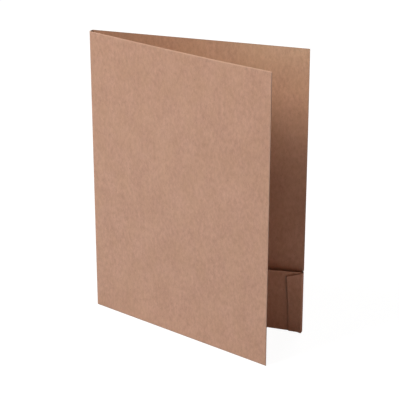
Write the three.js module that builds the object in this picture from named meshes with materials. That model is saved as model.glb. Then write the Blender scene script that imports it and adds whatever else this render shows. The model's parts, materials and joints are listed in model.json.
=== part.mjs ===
// Card document folder for A4 papers, standing slightly open.
//
// One die-cut card blank, scored and folded, with one glued joint. Each panel
// between two creases is a mesh of its own, because the panels turn against
// each other about the creases:
//
//   front_cover | front crease | spine_panel | back crease | back_cover
//   back_cover: bottom_gusset -> pocket_flap, folded up inside the back cover
//   back_cover: side_gusset   -> side_tab, folded in over the flap and glued
//   pocket_glue_line: the adhesive between the flap and the tab
//
// Millimetres. +Z up along the spine, +X from the spine to the fore edge of the
// back cover, -Y towards the front cover. The origin is under the middle of the
// whole folder's box, at the height that it stands on.
import * as THREE from "three";

// Driving dimensions
const COVER_W = 230; // spine crease to fore edge
const COVER_H = 310; // height of the covers
const CARD_T = 0.6; // thickness of the card
const SPINE_W = 6; // between the two spine creases
const OPEN_DEG = 20.6; // angle between the covers as it stands
const CREASE_GAP = 0.5; // each panel stops this far short of a crease line

const POCKET_DEPTH = 5.2; // back cover mid-plane to flap mid-plane at the folds
const POCKET_H = 70; // top edge of the flap
const POCKET_X0 = 6; // flap's edge near the spine, at the bottom
const POCKET_RELIEF = 4; // how far that edge leans away from the spine at the top
const POCKET_FOLD_Z = 0.6; // the bottom fold lies this far above the covers' edge
const MOUTH_BULGE = 5.6; // how far the flap's top edge bows out at its widest
const FOLD_GAP = 0.35; // between two panels at a square fold of the pocket

const TAB_W_TOP = 16; // side tab, fold to free edge, at the top
const TAB_W_BOTTOM = 13.8; // and at the bottom
const TAB_TOP_ROOT = 69.3; // top of the tab at its fold
const TAB_TOP_FREE = 65; // top of the tab at its free edge
const GLUE_T = 0.2; // adhesive film
const GLUE_CLEAR = 0.05; // film to card

// Derived places, measured from the back crease: back cover in the plane y = 0
const HALF_T = CARD_T / 2;
const OPEN = THREE.MathUtils.degToRad(OPEN_DEG);
const FRONT_CREASE = new THREE.Vector2(
  -SPINE_W * Math.sin(OPEN / 2),
  -SPINE_W * Math.cos(OPEN / 2),
);
const TAB_DEPTH = POCKET_DEPTH + CARD_T + GLUE_T + 2 * GLUE_CLEAR;
const GUSSET_X = COVER_W - CARD_T; // inner face of the side gusset
const FLAP_X1 = GUSSET_X - 0.5; // flap's edge beside the side gusset
const TAB_X1 = GUSSET_X - FOLD_GAP;

// The folder's box, to put the origin under its middle
const foreEdge = new THREE.Vector2(
  FRONT_CREASE.x + COVER_W * Math.cos(OPEN),
  FRONT_CREASE.y - COVER_W * Math.sin(OPEN),
);
const boxX0 = FRONT_CREASE.x - spineSideReach();
const boxX1 = COVER_W;
const boxY0 = foreEdge.y - HALF_T * Math.cos(OPEN);
const boxY1 = HALF_T;
const ORIGIN = new THREE.Vector3((boxX0 + boxX1) / 2, (boxY0 + boxY1) / 2, 0);

// The lowest x lies on the outer face of the spine panel, at its front end.
function spineSideReach() {
  const outward = HALF_T * Math.cos(OPEN / 2);
  const back = CREASE_GAP * Math.sin(OPEN / 2);
  return outward - back;
}

const kraft = (hex) =>
  new THREE.MeshStandardMaterial({ color: hex, roughness: 0.9, metalness: 0 });

const group = new THREE.Group();
const folder = new THREE.Group();
folder.position.copy(ORIGIN).negate();
group.add(folder);

function panel(name, material, size, centre, parent = folder) {
  const mesh = new THREE.Mesh(new THREE.BoxGeometry(...size), material);
  mesh.name = name;
  mesh.position.set(...centre);
  parent.add(mesh);
  return mesh;
}

// A curved sheet as a closed grid solid. place(u, v) gives x and z for u and v
// from 0 to 1, and middle(x, z) gives the y of the sheet's mid-surface there.
function sheet(name, material, columns, rows, thickness, place, middle) {
  const front = [];
  const back = [];
  for (let j = 0; j <= rows; j++)
    for (let i = 0; i <= columns; i++) {
      const [x, z] = place(i / columns, j / rows);
      const y = middle(x, z);
      front.push([x, y - thickness / 2, z]);
      back.push([x, y + thickness / 2, z]);
    }
  const n = front.length;
  const at = (i, j) => j * (columns + 1) + i;
  const index = [];
  const quad = (a, b, c, d) => index.push(a, b, c, a, c, d);
  for (let j = 0; j < rows; j++)
    for (let i = 0; i < columns; i++) {
      quad(at(i, j), at(i + 1, j), at(i + 1, j + 1), at(i, j + 1));
      quad(
        n + at(i, j),
        n + at(i, j + 1),
        n + at(i + 1, j + 1),
        n + at(i + 1, j),
      );
    }
  for (let i = 0; i < columns; i++) {
    quad(at(i, 0), n + at(i, 0), n + at(i + 1, 0), at(i + 1, 0));
    quad(
      at(i, rows),
      at(i + 1, rows),
      n + at(i + 1, rows),
      n + at(i, rows),
    );
  }
  for (let j = 0; j < rows; j++) {
    quad(at(0, j), at(0, j + 1), n + at(0, j + 1), n + at(0, j));
    quad(
      at(columns, j),
      n + at(columns, j),
      n + at(columns, j + 1),
      at(columns, j + 1),
    );
  }
  const geometry = new THREE.BufferGeometry();
  geometry.setAttribute(
    "position",
    new THREE.Float32BufferAttribute([...front, ...back].flat(), 3),
  );
  geometry.setIndex(index);
  geometry.computeVertexNormals();
  const mesh = new THREE.Mesh(geometry, material);
  mesh.name = name;
  folder.add(mesh);
  return mesh;
}

// Back cover: from the back crease to its fore edge
const coverLength = COVER_W - CREASE_GAP;
panel(
  "back_cover",
  kraft(0xb8917a),
  [coverLength, CARD_T, COVER_H],
  [CREASE_GAP + coverLength / 2, 0, COVER_H / 2],
);

// Spine panel: a narrow strip between the two creases
const spine = new THREE.Group();
spine.rotation.z = -(Math.PI / 2 + OPEN / 2); // its +X runs from the back crease to the front one
folder.add(spine);
panel(
  "spine_panel",
  kraft(0xb48c75),
  [SPINE_W - 2 * CREASE_GAP, CARD_T, COVER_H],
  [SPINE_W / 2, 0, COVER_H / 2],
  spine,
);

// Front cover: turned open about the front crease
const front = new THREE.Group();
front.position.set(FRONT_CREASE.x, FRONT_CREASE.y, 0);
front.rotation.z = -OPEN;
folder.add(front);
panel(
  "front_cover",
  kraft(0xbd957c),
  [coverLength, CARD_T, COVER_H],
  [CREASE_GAP + coverLength / 2, 0, COVER_H / 2],
  front,
);

// Pocket: bottom gusset, folded forward from the back cover's bottom edge
const flapBack = POCKET_DEPTH - HALF_T; // flap's inner face, in front of y = 0
const gussetFront = flapBack - FOLD_GAP;
const gussetBack = HALF_T + FOLD_GAP;
panel(
  "bottom_gusset",
  kraft(0x9c7763),
  [TAB_X1 - POCKET_X0, gussetFront - gussetBack, CARD_T],
  [
    (TAB_X1 + POCKET_X0) / 2,
    -(gussetFront + gussetBack) / 2,
    POCKET_FOLD_Z + HALF_T,
  ],
);

// Pocket flap: hinged at its bottom fold, so its mouth bows away from the back
// cover, most of all a little towards the fore edge, and less where it is glued
function bulge(x, z) {
  const u = THREE.MathUtils.clamp(
    (x - POCKET_X0 - POCKET_RELIEF) / (FLAP_X1 - POCKET_X0 - POCKET_RELIEF),
    0,
    1,
  );
  const v = THREE.MathUtils.clamp(
    (z - POCKET_FOLD_Z) / (POCKET_H - POCKET_FOLD_Z),
    0,
    1,
  );
  return MOUTH_BULGE * Math.sin(Math.PI * u ** 1.6) * v ** 1.15;
}
sheet(
  "pocket_flap",
  kraft(0x8a6754),
  20,
  6,
  CARD_T,
  (u, v) => {
    const x0 = POCKET_X0 + POCKET_RELIEF * v;
    return [
      x0 + (FLAP_X1 - x0) * u,
      POCKET_FOLD_Z + (POCKET_H - POCKET_FOLD_Z) * v,
    ];
  },
  (x, z) => -POCKET_DEPTH - bulge(x, z),
);

// Side gusset: folded forward from the back cover's fore edge
panel(
  "side_gusset",
  kraft(0x9c7763),
  [
    CARD_T,
    TAB_DEPTH + HALF_T - gussetBack,
    TAB_TOP_ROOT,
  ],
  [
    COVER_W - HALF_T,
    -(TAB_DEPTH + HALF_T + gussetBack) / 2,
    TAB_TOP_ROOT / 2,
  ],
);

// Side tab: folded in over the flap and lying on it, its top edge falling to
// the free edge
const tabX0 = (z) =>
  COVER_W - TAB_W_BOTTOM - (TAB_W_TOP - TAB_W_BOTTOM) * (z / TAB_TOP_FREE);
sheet(
  "side_tab",
  kraft(0x8f6c59),
  5,
  6,
  CARD_T,
  (u, v) => {
    const top = TAB_TOP_FREE + (TAB_TOP_ROOT - TAB_TOP_FREE) * u;
    const z = top * v;
    const x0 = tabX0(TAB_TOP_FREE * v);
    return [x0 + (TAB_X1 - x0) * u, z];
  },
  (x, z) => -TAB_DEPTH - bulge(x, z),
);

// Adhesive film between the tab and the flap
sheet(
  "pocket_glue_line",
  new THREE.MeshStandardMaterial({
    color: 0xd9cfae,
    roughness: 0.5,
    metalness: 0,
  }),
  3,
  5,
  GLUE_T,
  (u, v) => {
    const z = 6 + (56 + 2 * u) * v;
    const x0 = tabX0(z) + 3;
    return [x0 + (TAB_X1 - 2.5 - x0) * u, z];
  },
  (x, z) => -(POCKET_DEPTH + TAB_DEPTH) / 2 - bulge(x, z),
);

export default group;
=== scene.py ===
"""A kraft card document folder, standing slightly open.

The real folder is one scored and folded sheet of card, so each visual piece is a
continuous skin of card that runs round its folds:

  front_sheet   front cover, front crease and half of the spine
  back_sheet    the other half of the spine, back crease and back cover
  pocket_sheet  bottom fold, bottom gusset and pocket flap
  tab_sheet     fore-edge fold, side gusset and glued side tab

Lengths are in millimetres in the tables below and in metres in the meshes.
"""

import json
import math

import bpy
import numpy as np
from mathutils import Matrix, Vector


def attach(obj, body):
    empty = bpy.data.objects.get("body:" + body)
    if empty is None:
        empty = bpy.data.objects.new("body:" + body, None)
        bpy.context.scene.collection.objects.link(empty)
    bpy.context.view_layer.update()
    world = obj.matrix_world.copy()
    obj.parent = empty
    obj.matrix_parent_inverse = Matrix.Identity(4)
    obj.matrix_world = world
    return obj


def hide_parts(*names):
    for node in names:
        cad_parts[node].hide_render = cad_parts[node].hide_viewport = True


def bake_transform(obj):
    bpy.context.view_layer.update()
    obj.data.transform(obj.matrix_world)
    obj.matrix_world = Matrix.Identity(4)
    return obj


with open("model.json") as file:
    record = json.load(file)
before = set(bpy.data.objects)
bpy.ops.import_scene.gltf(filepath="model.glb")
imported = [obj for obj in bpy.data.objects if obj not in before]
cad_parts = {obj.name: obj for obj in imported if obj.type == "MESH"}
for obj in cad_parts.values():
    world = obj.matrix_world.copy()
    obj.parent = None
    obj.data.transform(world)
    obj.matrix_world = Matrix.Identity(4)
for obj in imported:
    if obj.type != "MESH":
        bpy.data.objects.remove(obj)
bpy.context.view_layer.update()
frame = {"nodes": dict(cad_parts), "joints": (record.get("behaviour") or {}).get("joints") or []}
scene = bpy.context.scene

# ---------------------------------------------------------------- the CAD's places
MM = 0.001
JOINTS = {j["name"]: j for j in frame["joints"]}
BACK_CREASE = np.array(JOINTS["back_crease"]["pos_m"][:2]) / MM
FRONT_CREASE = np.array(JOINTS["front_crease"]["pos_m"][:2]) / MM
SPINE_DIR = (FRONT_CREASE - BACK_CREASE) / np.linalg.norm(FRONT_CREASE - BACK_CREASE)
SPINE_W = float(np.linalg.norm(FRONT_CREASE - BACK_CREASE))
OPEN = math.radians(20.6)
FRONT_DIR = np.array([math.cos(OPEN), -math.sin(OPEN)])

HEIGHT = 310.0
COVER_W = 230.0
CARD = 0.6
HALF = CARD / 2

FOLD_MID_Z = 0.9  # bottom gusset's mid-plane
POCKET_DEPTH = 5.2
POCKET_H = 70.0
POCKET_X0 = 6.0
POCKET_RELIEF = 4.0
FLAP_X1 = 228.9
MOUTH_BULGE = 5.6
TAB_DEPTH = 6.1
TAB_TOP_ROOT = 69.3
TAB_TOP_FREE = 65.0
TAB_W_TOP = 16.0
TAB_W_BOTTOM = 13.8
GUSSET_MID_X = 229.7
SEAM_X = 228.6  # where the fore-edge fold starts
SEAM_Z = 2.3  # where the bottom fold starts
RELIEF_Z = 69.9  # the fold ends here, and the cover's cut edge begins


# ---------------------------------------------------------------- small helpers
def smooth(t):
    t = np.clip(t, 0.0, 1.0)
    return t * t * (3 - 2 * t)


def lines(*spans):
    """Grid lines: each span is (from, to, step), and the ends are kept exactly."""
    out = []
    for a, b, step in spans:
        n = max(1, int(round(abs(b - a) / step)))
        out.extend(np.linspace(a, b, n + 1).tolist())
    kept = []
    for x in sorted(out):
        if not kept or x - kept[-1] > 1e-6:
            kept.append(x)
    return np.array(kept)


def folded_path(corners, reach):
    """A path of straight legs with a small curved fold at each inner corner. Returns f(s) -> (point, tangent), with s the developed length."""
    pts = [np.array(p, float) for p in corners]
    legs = [np.linalg.norm(b - a) for a, b in zip(pts, pts[1:])]
    start = np.concatenate([[0.0], np.cumsum(legs)])
    dirs = [(b - a) / n for a, b, n in zip(pts, pts[1:], legs)]

    def at(s):
        s = np.asarray(s, float)
        point = np.zeros(s.shape + (2,))
        tangent = np.zeros(s.shape + (2,))
        leg = np.clip(np.searchsorted(start, s, side="right") - 1, 0, len(legs) - 1)
        for k in range(len(legs)):
            m = leg == k
            point[m] = pts[k] + (s[m] - start[k])[:, None] * dirs[k]
            tangent[m] = dirs[k]
        for k in range(1, len(legs)):
            r = reach[k - 1]
            m = np.abs(s - start[k]) < r
            t = ((s[m] - start[k] + r) / (2 * r))[:, None]
            a, b, c = pts[k] - r * dirs[k - 1], pts[k], pts[k] + r * dirs[k]
            point[m] = (1 - t) ** 2 * a + 2 * t * (1 - t) * b + t**2 * c
            d = 2 * (1 - t) * (b - a) + 2 * t * (c - b)
            tangent[m] = d / np.linalg.norm(d, axis=1, keepdims=True)
        return point, tangent

    return at


def card_skin(name, mid, normal, out, inn, sheet, crease, keep, cut, pale, shade_strength):
    """A closed skin of card from grids of shape (columns, rows): mid-surface, unit normal, offset of the outer and
    inner face, developed place, crease mask.
    keep says which cells are there, and cut(i, j, k, l) whether the edge between two grid points is a cut edge, not a
    seam.
    pale is how strongly the cut edge at the last row, the top, is lightened, a painted highlight where the light from
    above falls, and the last argument how strongly the other cut edges are darkened, painted shade where they lie out
    of the light."""
    nc, nr = mid.shape[:2]
    outer = mid + normal * out[..., None]
    inner = mid - normal * inn[..., None]
    du = mid[1:, :-1] - mid[:-1, :-1]
    dv = mid[:-1, 1:] - mid[:-1, :-1]
    turn = np.sum(np.cross(du, dv) * normal[:-1, :-1], axis=-1)
    flip = np.median(turn) < 0
    number = -np.ones((2, nc, nr), int)
    verts, uvw, crs = [], [], []

    def vert(side, i, j):
        if number[side, i, j] < 0:
            number[side, i, j] = len(verts)
            verts.append((outer, inner)[side][i, j])
            u, v = sheet[i, j]
            w = out[i, j] if side == 0 else -inn[i, j]
            uvw.append((u, v, w))
            crs.append(crease[i, j] * (1.0 if side == 0 else 0.45))
        return number[side, i, j]

    faces = []
    count = {}
    for i in range(nc - 1):
        for j in range(nr - 1):
            if not keep[i, j]:
                continue
            loop = [(i, j), (i + 1, j), (i + 1, j + 1), (i, j + 1)]
            if flip:
                loop = loop[::-1]
            faces.append([vert(0, *p) for p in loop])
            faces.append([vert(1, *p) for p in loop[::-1]])
            for a, b in zip(loop, loop[1:] + loop[:1]):
                count[(a, b)] = True
    rim = [(a, b) for a, b in count if (b, a) not in count]
    top_edge, other_edge = set(), set()
    for a, b in rim:
        faces.append([vert(0, *b), vert(0, *a), vert(1, *a), vert(1, *b)])
        if cut(*a, *b):
            ends = (number[0][a], number[0][b], number[1][a], number[1][b])
            (top_edge if a[1] == b[1] == nr - 1 else other_edge).update(ends)
    me = bpy.data.meshes.new(name)
    me.from_pydata([tuple(float(x) * MM for x in p) for p in verts], [], faces)
    me.validate()
    me.update()
    me.attributes.new("sheet_mm", "FLOAT_VECTOR", "POINT").data.foreach_set(
        "vector", np.array(uvw, np.float32).ravel()
    )
    me.attributes.new("crease", "FLOAT", "POINT").data.foreach_set(
        "value", np.array(crs, np.float32)
    )
    highlight_amount = np.zeros(len(verts), np.float32)
    edge_shade_amount = np.zeros(len(verts), np.float32)
    # painted shade: the cut edges at the sides and bottom darkened where they lie out of the light, and the top edges a
    # little where their painted highlight is weak
    edge_shade_amount[list(other_edge)] = shade_strength
    # painted highlight: the cut edges of the top row made paler, where the light from above falls on them
    highlight_amount[list(top_edge)] = pale
    edge_shade_amount[list(top_edge)] = 0.6 * (1 - pale) * shade_strength
    me.attributes.new("edge_highlight", "FLOAT", "POINT").data.foreach_set("value", highlight_amount)
    me.attributes.new("edge_shade_amount", "FLOAT", "POINT").data.foreach_set("value", edge_shade_amount)
    me.polygons.foreach_set("use_smooth", np.ones(len(me.polygons), bool))
    me.set_sharp_from_angle(angle=math.radians(38))
    obj = bpy.data.objects.new(name, me)
    scene.collection.objects.link(obj)
    return obj


def ridge(s, at, width):
    return np.exp(-(((s - at) / width) ** 2))


# ---------------------------------------------------------------- front and back sheets
MID_SPINE = BACK_CREASE + SPINE_DIR * SPINE_W / 2
HALF_SPINE = SPINE_W / 2
CREASE_REACH = 0.95


def cover_sheet(name, corner, direction, outward, u_of, bow, z_lines, s_lines, keep, cut, pale, shade_strength):
    """Half of the spine, a crease and a cover, as one skin. s runs from the middle of the spine."""
    path = folded_path([MID_SPINE, corner, corner + direction * COVER_W], [CREASE_REACH])
    S, Z = np.meshgrid(s_lines, z_lines, indexing="ij")
    point, tangent = path(s_lines)
    n = np.stack([tangent[:, 1], -tangent[:, 0]], 1)
    if n[-1] @ outward < 0:
        n = -n
    mid = np.zeros(S.shape + (3,))
    mid[..., :2] = point[:, None, :]
    mid[..., 2] = Z
    normal = np.zeros_like(mid)
    normal[..., :2] = n[:, None, :]
    mid += normal * bow(S - HALF_SPINE, Z)[..., None]
    fold = ridge(S, HALF_SPINE, 0.75)
    # the scored line: a shallow groove outside, and a bead on the inside of the fold
    out = HALF - 0.11 * ridge(S, HALF_SPINE, 0.45)
    inn = HALF + 0.2 * ridge(S, HALF_SPINE, 0.5)
    sheet = np.stack([u_of(S), Z], -1)
    return card_skin(name, mid, normal, out, inn, sheet, fold, keep(S, Z), cut, pale, shade_strength)


def front_bow(s, z):
    """The front cover is flat where it stands. Towards its top it bows out a little in the middle, and its fore edge curls back in."""
    rise = smooth(z / HEIGHT)
    return rise * (1.1 * np.sin(np.pi * np.clip(s / COVER_W, 0, 1)) - 1.9 * smooth((s - 165) / 75))


def back_bow(s, z):
    """The back cover is held flat by the pocket and bows out above it."""
    a = smooth(s / 200)
    return a * 1.1 * np.sin(np.pi * np.clip((z - 74) / (HEIGHT + 40 - 74), 0, 1)) ** 1.3


near_crease = lines((0, 1.2, 0.4), (1.2, HALF_SPINE - 1.3, 0.25), (HALF_SPINE - 1.3, HALF_SPINE + 1.3, 0.13), (HALF_SPINE + 1.3, HALF_SPINE + 2.5, 0.3), (HALF_SPINE + 2.5, HALF_SPINE + 6, 1.2))
fore = HALF_SPINE + COVER_W

front_s = lines(*[(a, b, b - a) for a, b in zip(near_crease, near_crease[1:])], (HALF_SPINE + 6, fore - 3, 4.5), (fore - 3, fore - 1.3, 1.7), (fore - 1.3, fore, 1.3))
front_z = lines((0, 1.3, 1.3), (1.3, 3, 1.7), (3, HEIGHT - 3, 4.5), (HEIGHT - 3, HEIGHT - 1.3, 1.7), (HEIGHT - 1.3, HEIGHT, 1.3))
front_sheet = cover_sheet(
    "front_sheet",
    FRONT_CREASE,
    FRONT_DIR,
    np.array([-math.sin(OPEN), -math.cos(OPEN)]),
    lambda s: -HALF_SPINE - s,
    front_bow,
    front_z,
    front_s,
    lambda s, z: np.ones((s.shape[0] - 1, s.shape[1] - 1), bool),
    lambda i, j, k, l: not (i == 0 and k == 0),
    1.0,
    1.0,
)

seam_x = HALF_SPINE + SEAM_X
notch_x = HALF_SPINE + POCKET_X0
back_s = lines(*[(a, b, b - a) for a, b in zip(near_crease, near_crease[1:])], (HALF_SPINE + 6, fore - 6, 4.5), (fore - 6, seam_x, 1.15), (seam_x, fore - 0.6, 0.8), (fore - 0.6, fore, 0.6))
back_z = lines((0, 0.7, 0.7), (0.7, SEAM_Z, 0.8), (SEAM_Z, 6, 1.2), (6, RELIEF_Z, 4.5), (RELIEF_Z, RELIEF_Z + 2, 0.7), (RELIEF_Z + 2, HEIGHT - 3, 4.5), (HEIGHT - 3, HEIGHT - 1.3, 1.7), (HEIGHT - 1.3, HEIGHT, 1.3))


def back_keep(S, Z):
    s = (S[1:, 1:] + S[:-1, :-1]) / 2
    z = (Z[1:, 1:] + Z[:-1, :-1]) / 2
    bottom_fold = (z < SEAM_Z) & (s > notch_x) & (s < seam_x)
    fore_fold = (z < RELIEF_Z) & (s > seam_x)
    return ~(bottom_fold | fore_fold)


def back_cut(i, j, k, l):
    s = (back_s[i] + back_s[k]) / 2
    z = (back_z[j] + back_z[l]) / 2
    if s < 0.01:
        return False
    if abs(z - SEAM_Z) < 0.01 and notch_x < s < seam_x:
        return False
    return not (abs(s - seam_x) < 0.01 and z < RELIEF_Z)


back_sheet = cover_sheet(
    "back_sheet",
    BACK_CREASE,
    np.array([1.0, 0.0]),
    np.array([0.0, 1.0]),
    lambda s: s - HALF_SPINE,
    back_bow,
    back_z,
    back_s,
    back_keep,
    back_cut,
    0.0,
    0.8,
)


# ---------------------------------------------------------------- pocket and tab
def bulge(x, z):
    """How far the pocket flap stands out at x from the back crease and height z, as in the CAD."""
    u = np.clip((x - POCKET_X0 - POCKET_RELIEF) / (FLAP_X1 - POCKET_X0 - POCKET_RELIEF), 0, 1)
    v = np.clip((z - 0.6) / (POCKET_H - 0.6), 0, 1)
    return MOUTH_BULGE * np.sin(np.pi * u**1.6) * v**1.15


def surface_normals(mid, toward):
    """Unit normals of a grid of points, on the side of toward."""
    du = np.gradient(mid, axis=0)
    dv = np.gradient(mid, axis=1)
    n = np.cross(du, dv)
    n /= np.linalg.norm(n, axis=-1, keepdims=True)
    n[np.sum(n * toward, axis=-1) < 0] *= -1
    return n


# pocket: rows run down the back cover's plane, round the bottom fold, along the gusset, round the front fold and up the flap
DROP = SEAM_Z - FOLD_MID_Z
FOLD1 = DROP
FOLD2 = DROP + POCKET_DEPTH
TOP = FOLD2 + POCKET_H - FOLD_MID_Z
pocket_path = folded_path(
    [(0.0, SEAM_Z), (0.0, FOLD_MID_Z), (-POCKET_DEPTH, FOLD_MID_Z), (-POCKET_DEPTH, POCKET_H)],
    [0.85, 0.95],
)
pocket_v = lines((0, 0.5, 0.5), (0.5, FOLD1 + 1.0, 0.14), (FOLD1 + 1.0, FOLD2 - 1.1, 0.6), (FOLD2 - 1.1, FOLD2 + 1.1, 0.14), (FOLD2 + 1.1, FOLD2 + 4, 0.7), (FOLD2 + 4, TOP - 3, 3.5), (TOP - 3, TOP - 0.6, 0.8), (TOP - 0.6, TOP, 0.6))
pocket_c = lines((0, 0.003, 0.003), (0.003, 0.02, 0.017), (0.02, 0.98, 0.0175), (0.98, 0.997, 0.017), (0.997, 1, 0.003))
pp, pt = pocket_path(pocket_v)
pn = np.stack([-pt[:, 1], pt[:, 0]], 1)  # outward: away from the pocket's inside
C, V = np.meshgrid(pocket_c, pocket_v, indexing="ij")
up = np.clip((V - FOLD2) / (TOP - FOLD2), 0, 1)
x0 = POCKET_X0 + POCKET_RELIEF * up
x1 = np.where(V < FOLD1 + 0.9, SEAM_X, FLAP_X1)
PX = x0 + (x1 - x0) * C
pmid = np.zeros(C.shape + (3,))
pmid[..., 0] = PX
pmid[..., 1] = pp[None, :, 0]
pmid[..., 2] = pp[None, :, 1]
on_flap = V > FOLD2
pmid[..., 1] -= np.where(on_flap, bulge(PX, pmid[..., 2]), 0)
toward = np.zeros_like(pmid)
toward[..., 1] = pn[None, :, 0]
toward[..., 2] = pn[None, :, 1]
if pn[0, 0] < 0:
    toward *= -1
pnormal = surface_normals(pmid, toward)
pnormal[:, 0] = (0, 1, 0)
pmid[..., 0] += BACK_CREASE[0]
pmid[..., 1] += BACK_CREASE[1]
pfold = ridge(V, FOLD1, 0.7) + ridge(V, FOLD2, 0.75)
pocket_sheet = card_skin(
    "pocket_sheet",
    pmid,
    pnormal,
    HALF - 0.04 * (ridge(V, FOLD2 + 1.6, 0.4)) + 0 * V,
    HALF + 0.16 * (ridge(V, FOLD1, 0.45) + ridge(V, FOLD2, 0.5)),
    np.stack([PX, SEAM_Z - V], -1),
    pfold,
    np.ones((C.shape[0] - 1, C.shape[1] - 1), bool),
    lambda i, j, k, l: not (j == 0 and l == 0),
    0.9,
    0.3,
)

# tab: columns run from the back cover's plane, round the fore-edge fold, along the side gusset, round the front fold and over the flap
RUN = GUSSET_MID_X - SEAM_X
TFOLD1 = RUN
TFOLD2 = RUN + TAB_DEPTH
tab_path = folded_path(
    [(SEAM_X, 0.0), (GUSSET_MID_X, 0.0), (GUSSET_MID_X, -TAB_DEPTH), (GUSSET_MID_X - 40, -TAB_DEPTH)],
    [0.85, 0.95],
)
root = GUSSET_MID_X
s_end = TFOLD2 + root - (COVER_W - TAB_W_TOP)
tab_k = lines((0, 0.4, 0.4), (0.4, TFOLD1 + 1.0, 0.14), (TFOLD1 + 1.0, TFOLD2 - 1.1, 0.6), (TFOLD2 - 1.1, TFOLD2 + 1.1, 0.14), (TFOLD2 + 1.1, TFOLD2 + 3, 0.6), (TFOLD2 + 3, s_end - 1.6, 1.6), (s_end - 1.6, s_end - 0.5, 0.55), (s_end - 0.5, s_end, 0.5))
tab_r = lines((0, 0.008, 0.008), (0.008, 0.03, 0.011), (0.03, 0.97, 0.047), (0.97, 0.992, 0.011), (0.992, 1, 0.008))
K, R = np.meshgrid(tab_k, tab_r, indexing="ij")
over = np.clip((K - TFOLD2) / (s_end - TFOLD2), 0, 1)
top = TAB_TOP_ROOT + (TAB_TOP_FREE - TAB_TOP_ROOT) * over - 0.6 * np.clip((over - 0.94) / 0.06, 0, 1) ** 2
foot = 0.9 * smooth(over / 0.35)
TZ = foot + (top - foot) * R
narrow = (TAB_W_TOP - TAB_W_BOTTOM) * (1 - np.clip(TZ / TAB_TOP_FREE, 0, 1))
s_here = np.where(K > TFOLD2 + 1.1, TFOLD2 + 1.1 + (K - TFOLD2 - 1.1) * (s_end - TFOLD2 - 1.1 - narrow) / (s_end - TFOLD2 - 1.1), K)
tp, tt = tab_path(s_here.ravel())
tp = tp.reshape(K.shape + (2,))
tt = tt.reshape(K.shape + (2,))
tmid = np.zeros(K.shape + (3,))
tmid[..., :2] = tp
tmid[..., 2] = TZ
tmid[..., 1] -= np.where(K > TFOLD2, bulge(tp[..., 0], TZ), 0)
# above the glue the tab stands off the flap, most at its free top corner
tmid[..., 1] -= 1.1 * smooth((TZ - 30) / 36) * (0.35 * np.clip((K - TFOLD1) / TAB_DEPTH, 0, 1) + 0.65 * over)
toward = np.zeros_like(tmid)
toward[..., 0] = -tt[..., 1]
toward[..., 1] = tt[..., 0]
tnormal = surface_normals(tmid, toward)
tnormal[0, :] = (0, 1, 0)
tmid[..., 0] += BACK_CREASE[0]
tmid[..., 1] += BACK_CREASE[1]
tab_sheet = card_skin(
    "tab_sheet",
    tmid,
    tnormal,
    HALF - 0.04 * ridge(K, TFOLD2 + 1.6, 0.4),
    HALF + 0.12 * (ridge(K, TFOLD1, 0.45) + ridge(K, TFOLD2, 0.5)),
    np.stack([SEAM_X + s_here, TZ], -1),
    ridge(K, TFOLD1, 0.7) + ridge(K, TFOLD2, 0.75),
    np.ones((K.shape[0] - 1, K.shape[1] - 1), bool),
    lambda i, j, k, l: not (i == 0 and k == 0),
    0.6,
    0.3,
)


# ---------------------------------------------------------------- materials
class Nodes:
    """Short names for building a material's nodes."""

    def __init__(self, name):
        self.mat = bpy.data.materials.new(name)
        self.mat.use_nodes = True
        self.tree = self.mat.node_tree
        self.tree.nodes.clear()

    def add(self, kind, **settings):
        n = self.tree.nodes.new(kind)
        for k, v in settings.items():
            setattr(n, k, v)
        return n

    def link(self, a, b):
        self.tree.links.new(a, b)

    def attribute(self, name):
        return self.add("ShaderNodeAttribute", attribute_type="GEOMETRY", attribute_name=name)

    def scaled(self, vector, scale, offset=(0, 0, 0)):
        n = self.add("ShaderNodeMapping", vector_type="POINT")
        n.inputs["Scale"].default_value = scale
        n.inputs["Location"].default_value = offset
        self.link(vector, n.inputs["Vector"])
        return n.outputs["Vector"]

    def noise(self, vector, scale=1.0, detail=2.0, rough=0.5, distortion=0.0):
        n = self.add("ShaderNodeTexNoise", noise_dimensions="3D")
        n.inputs["Scale"].default_value = scale
        n.inputs["Detail"].default_value = detail
        n.inputs["Roughness"].default_value = rough
        n.inputs["Distortion"].default_value = distortion
        self.link(vector, n.inputs["Vector"])
        return n.outputs["Fac"]

    def math(self, op, a, b=0.5, clamp=False):
        n = self.add("ShaderNodeMath", operation=op, use_clamp=clamp)
        for k, v in enumerate((a, b)):
            if isinstance(v, (int, float)):
                n.inputs[k].default_value = v
            else:
                self.link(v, n.inputs[k])
        return n.outputs[0]

    def span(self, value, a, b, c, d):
        n = self.add("ShaderNodeMapRange", clamp=True)
        for k, v in zip(("From Min", "From Max", "To Min", "To Max"), (a, b, c, d)):
            n.inputs[k].default_value = v
        self.link(value, n.inputs["Value"])
        return n.outputs["Result"]

    def mix(self, fac, a, b, blend="MIX"):
        n = self.add("ShaderNodeMix", data_type="RGBA", blend_type=blend)
        for socket, v in ((n.inputs[0], fac), (n.inputs[6], a), (n.inputs[7], b)):
            if isinstance(v, (int, float)):
                socket.default_value = v
            elif isinstance(v, tuple):
                socket.default_value = (*v, 1.0)
            else:
                self.link(v, socket)
        return n.outputs[2]

    def bump(self, height, distance, strength=1.0, normal=None):
        n = self.add("ShaderNodeBump")
        n.inputs["Strength"].default_value = strength
        n.inputs["Distance"].default_value = distance
        self.link(height, n.inputs["Height"])
        if normal is not None:
            self.link(normal, n.inputs["Normal"])
        return n.outputs["Normal"]


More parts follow.
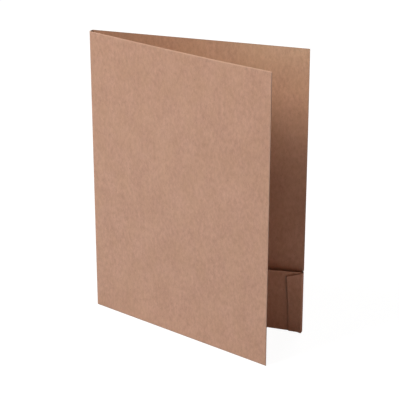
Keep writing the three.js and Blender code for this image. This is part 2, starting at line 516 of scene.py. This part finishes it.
def kraft_card(name, tone=(1.0, 1.0, 1.0)):
    """Unbleached kraft card: cloudy pulp, fibres that run up the sheet, a few dark flecks and pale fibres, a painted
    highlight on the cut edges at the top where the light from above falls, painted shade on the cut edges below and at
    the sides, folds lightened partly by wear and partly by a painted highlight on their shoulders, and a painted shade
    line along the middle of each fold.
    """
    g = Nodes(name)
    place = g.attribute("sheet_mm").outputs["Vector"]
    # the two faces of the card lie 0.6 mm apart in the third coordinate: stretched, they get patterns of their own
    cloud = g.noise(g.scaled(place, (0.05, 0.035, 9.0)), 1.0, 2.0, 0.5)
    pulp = g.noise(g.scaled(place, (0.31, 0.17, 7.0), (11, 5, 3)), 1.0, 4.0, 0.6)
    fibre = g.noise(g.scaled(place, (1.25, 0.36, 6.0), (3, 17, 8)), 1.0, 3.0, 0.62, 0.3)
    fine = g.noise(g.scaled(place, (3.6, 1.6, 5.0), (7, 2, 31)), 1.0, 2.0, 0.55)
    hue = g.noise(g.scaled(place, (0.06, 0.04, 8.0), (29, 37, 13)), 1.0, 2.0, 0.5)
    speck = g.noise(g.scaled(place, (1.3, 0.8, 6.0), (41, 23, 5)), 1.0, 0.0, 0.5, 0.6)
    hair = g.noise(g.scaled(place, (2.6, 0.28, 6.0), (19, 61, 2)), 1.0, 1.0, 0.5, 1.2)

    dark = tuple(c * t for c, t in zip((0.50, 0.272, 0.181), tone))
    light = tuple(c * t for c, t in zip((0.65, 0.370, 0.257), tone))
    warm = tuple(c * t for c, t in zip((0.61, 0.318, 0.205), tone))
    value = g.math("MULTIPLY", cloud, 0.24)
    value = g.math("ADD", value, g.math("MULTIPLY", pulp, 0.58))
    value = g.math("ADD", value, g.math("MULTIPLY", fibre, 0.36))
    value = g.math("ADD", value, g.math("MULTIPLY", fine, 0.10))
    colour = g.mix(g.span(value, 0.49, 0.79, 0.0, 1.0), dark, light)
    colour = g.mix(g.span(pulp, 0.45, 0.72, 0.0, 0.14), colour, warm)
    colour = g.mix(g.span(hue, 0.35, 0.65, 0.0, 0.24), colour, tuple(c * t for c, t in zip((0.575, 0.335, 0.195), tone)))
    colour = g.mix(g.span(speck, 0.76, 0.82, 0.0, 0.45), colour, tuple(c * 0.55 for c in dark))
    colour = g.mix(g.span(hair, 0.72, 0.8, 0.0, 0.4), colour, tuple(min(1.0, c * 1.25) for c in light))

    crease = g.attribute("crease").outputs["Fac"]
    # the folds lighter towards (0.66, 0.42, 0.31): partly wear of cracked fibres, partly a painted highlight on the
    # shoulders either side of the fold's middle
    fold_wear_and_highlight = g.math("MULTIPLY", crease, g.span(fibre, 0.35, 0.65, 0.25, 1.0), clamp=True)
    colour = g.mix(g.math("MULTIPLY", fold_wear_and_highlight, 0.4), colour, tuple(c * t for c, t in zip((0.66, 0.42, 0.31), tone)))
    # painted shade: a dark line along the middle of each fold, towards (0.36, 0.19, 0.12)
    groove_shade = g.span(crease, 0.72, 1.0, 0.0, 0.5)
    colour = g.mix(groove_shade, colour, tuple(c * t for c, t in zip((0.36, 0.19, 0.12), tone)))
    # painted highlight: the cut edges at the top lightened towards (0.82, 0.51, 0.36), where the light from above falls
    edge = g.attribute("edge_highlight").outputs["Fac"]
    highlight_mask = g.math("MULTIPLY", g.math("POWER", edge, 1.3), g.span(fine, 0.3, 0.7, 0.65, 1.0), clamp=True)
    colour = g.mix(highlight_mask, colour, tuple(c * t for c, t in zip((0.82, 0.51, 0.36), tone)))
    # painted shade: the cut edges below and at the sides darkened towards (0.34, 0.215, 0.155), where they lie out of
    # the light
    edge_shade_amount = g.attribute("edge_shade_amount").outputs["Fac"]
    edge_shade_mask = g.math("MULTIPLY", g.math("POWER", edge_shade_amount, 1.2), g.span(fine, 0.3, 0.7, 0.75, 1.0), clamp=True)
    colour = g.mix(edge_shade_mask, colour, tuple(c * t for c, t in zip((0.34, 0.215, 0.155), tone)))

    rough = g.span(fibre, 0.3, 0.7, 0.94, 0.8)
    tooth = g.math("ADD", g.math("MULTIPLY", fibre, 0.6), g.math("MULTIPLY", fine, 0.4))
    normal = g.bump(tooth, 0.00006, 0.6)
    normal = g.bump(pulp, 0.00018, 0.35, normal)

    shader = g.add("ShaderNodeBsdfPrincipled")
    shader.inputs["Specular IOR Level"].default_value = 0.25
    g.link(colour, shader.inputs["Base Color"])
    g.link(rough, shader.inputs["Roughness"])
    g.link(normal, shader.inputs["Normal"])
    out = g.add("ShaderNodeOutputMaterial")
    g.link(shader.outputs["BSDF"], out.inputs["Surface"])
    return g.mat


def adhesive():
    """A dried bead of hot glue pressed to a film: waxy, slightly uneven."""
    g = Nodes("dried_adhesive")
    coord = g.add("ShaderNodeTexCoord").outputs["Object"]
    blotch = g.noise(g.scaled(coord, (260, 260, 180)), 1.0, 3.0, 0.55)
    colour = g.mix(blotch, (0.52, 0.44, 0.28), (0.74, 0.68, 0.5))
    shader = g.add("ShaderNodeBsdfPrincipled")
    g.link(colour, shader.inputs["Base Color"])
    g.link(g.span(blotch, 0.3, 0.7, 0.35, 0.55), shader.inputs["Roughness"])
    g.link(g.bump(blotch, 0.0001, 0.5), shader.inputs["Normal"])
    out = g.add("ShaderNodeOutputMaterial")
    g.link(shader.outputs["BSDF"], out.inputs["Surface"])
    return g.mat


card_material = kraft_card("kraft_card")
for piece in (front_sheet, back_sheet, pocket_sheet, tab_sheet):
    piece.data.materials.append(card_material)
glue = frame["nodes"]["pocket_glue_line"]
glue.data.materials.clear()
glue.data.materials.append(adhesive())

# ---------------------------------------------------------------- what moves with what
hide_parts("front_cover", "spine_panel")
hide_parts("back_cover")
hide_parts("bottom_gusset", "pocket_flap")
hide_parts("side_gusset", "side_tab")


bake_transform(back_sheet)
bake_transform(front_sheet)
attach(pocket_sheet, "back")
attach(tab_sheet, "back")


# ---------------------------------------------------------------- studio
def studio_floor():
    """A pale floor: it shows almost white, and throws little light back, as under a photographer's lamps."""
    bpy.ops.mesh.primitive_grid_add(x_subdivisions=8, y_subdivisions=8, size=24, location=(0, 0, -0.0003))
    floor = bpy.context.object
    floor.name = "studio_floor"
    g = Nodes("studio_floor")
    lit = g.add("ShaderNodeBsdfDiffuse")
    lit.inputs["Color"].default_value = (0.74, 0.82, 0.93, 1)
    shown = g.add("ShaderNodeBsdfPrincipled")
    shown.inputs["Base Color"].default_value = (0.22, 0.22, 0.22, 1)
    shown.inputs["Roughness"].default_value = 1.0
    shown.inputs["Specular IOR Level"].default_value = 0.0
    shown.inputs["Emission Color"].default_value = (1, 1, 1, 1)
    shown.inputs["Emission Strength"].default_value = 0.95
    pick = g.add("ShaderNodeMixShader")
    g.link(g.add("ShaderNodeLightPath").outputs["Is Camera Ray"], pick.inputs[0])
    g.link(lit.outputs[0], pick.inputs[1])
    g.link(shown.outputs[0], pick.inputs[2])
    out = g.add("ShaderNodeOutputMaterial")
    g.link(pick.outputs[0], out.inputs["Surface"])
    floor.data.materials.append(g.mat)
    return floor


def area_light(name, place, target, size, watts, colour=(1, 1, 1)):
    data = bpy.data.lights.new(name, "AREA")
    data.shape = "RECTANGLE"
    data.size, data.size_y = size
    data.energy = watts
    data.color = colour
    light = bpy.data.objects.new(name, data)
    scene.collection.objects.link(light)
    light.location = place
    light.visible_camera = False
    light.rotation_mode = "QUATERNION"
    light.rotation_quaternion = (Vector(target) - Vector(place)).to_track_quat("-Z", "Y")
    return light


floor = studio_floor()
CENTRE = Vector((0, 0, 0.155))


def towards(x, y, z, distance):
    return CENTRE + Vector((x, y, z)).normalized() * distance


area_light("key_softbox", towards(-0.55, -0.50, 0.77, 2.2), CENTRE, (1.0, 1.0), 36.0, (1.0, 0.93, 0.835))
area_light("side_fill", towards(0.90, -0.45, 0.04, 1.4), CENTRE, (0.25, 0.3), 2.65, (1.0, 0.53, 0.36))
area_light("low_fill", (-0.30, -0.62, 0.03), (0, -0.03, 0.02), (0.5, 0.06), 1.5, (0.4, 0.62, 0.85))
area_light("top_strip", (0.12, -0.012, 0.385), (0.10, 0.043, 0.355), (0.16, 0.04), 0.09, (0.66, 1.0, 1.0))
area_light("back_fill", towards(0.15, 1.0, 0.55, 2.0), CENTRE, (1.2, 1.2), 10.0)

world = bpy.data.worlds.new("studio")
scene.world = world
world.use_nodes = True
wt = world.node_tree
wt.nodes.clear()
ambient = wt.nodes.new("ShaderNodeBackground")
ambient.inputs["Color"].default_value = (1, 1, 1, 1)
ambient.inputs["Strength"].default_value = 0.03
seen = wt.nodes.new("ShaderNodeBackground")
seen.inputs["Color"].default_value = (1, 1, 1, 1)
seen.inputs["Strength"].default_value = 0.98
path = wt.nodes.new("ShaderNodeLightPath")
pick = wt.nodes.new("ShaderNodeMixShader")
wout = wt.nodes.new("ShaderNodeOutputWorld")
wt.links.new(path.outputs["Is Camera Ray"], pick.inputs[0])
wt.links.new(ambient.outputs[0], pick.inputs[1])
wt.links.new(seen.outputs[0], pick.inputs[2])
wt.links.new(pick.outputs[0], wout.inputs["Surface"])

scene.view_settings.view_transform = "Standard"
scene.view_settings.look = "None"
scene.view_settings.exposure = 0.0
scene.view_settings.gamma = 1.0


# ---------------------------------------------------------------- camera
def photo_camera():
    """At the photograph's viewing angle: above the folder and to the right of it, looking at the front cover."""
    place = np.array([566.3, -1378.1, 722.2])
    place[:2] += BACK_CREASE
    yaw, pitch, roll = (math.radians(a) for a in (-18.10, 22.03, -0.08))
    fwd = Vector((math.sin(yaw) * math.cos(pitch), math.cos(yaw) * math.cos(pitch), -math.sin(pitch)))
    right = Vector((math.cos(yaw), -math.sin(yaw), 0))
    up = right.cross(fwd)
    r = right * math.cos(roll) + up * math.sin(roll)
    u = -right * math.sin(roll) + up * math.cos(roll)
    data = bpy.data.cameras.new("camera")
    data.sensor_fit = "HORIZONTAL"
    data.sensor_width = 36.0
    data.lens = 1490.2 / 400 * 36.0
    data.clip_start, data.clip_end = 0.05, 60
    cam = bpy.data.objects.new("camera", data)
    scene.collection.objects.link(cam)
    m = Matrix((r, u, -fwd)).transposed().to_4x4()
    m.translation = Vector(place) * MM
    cam.matrix_world = m
    scene.camera = cam


photo_camera()

bpy.context.view_layer.update()
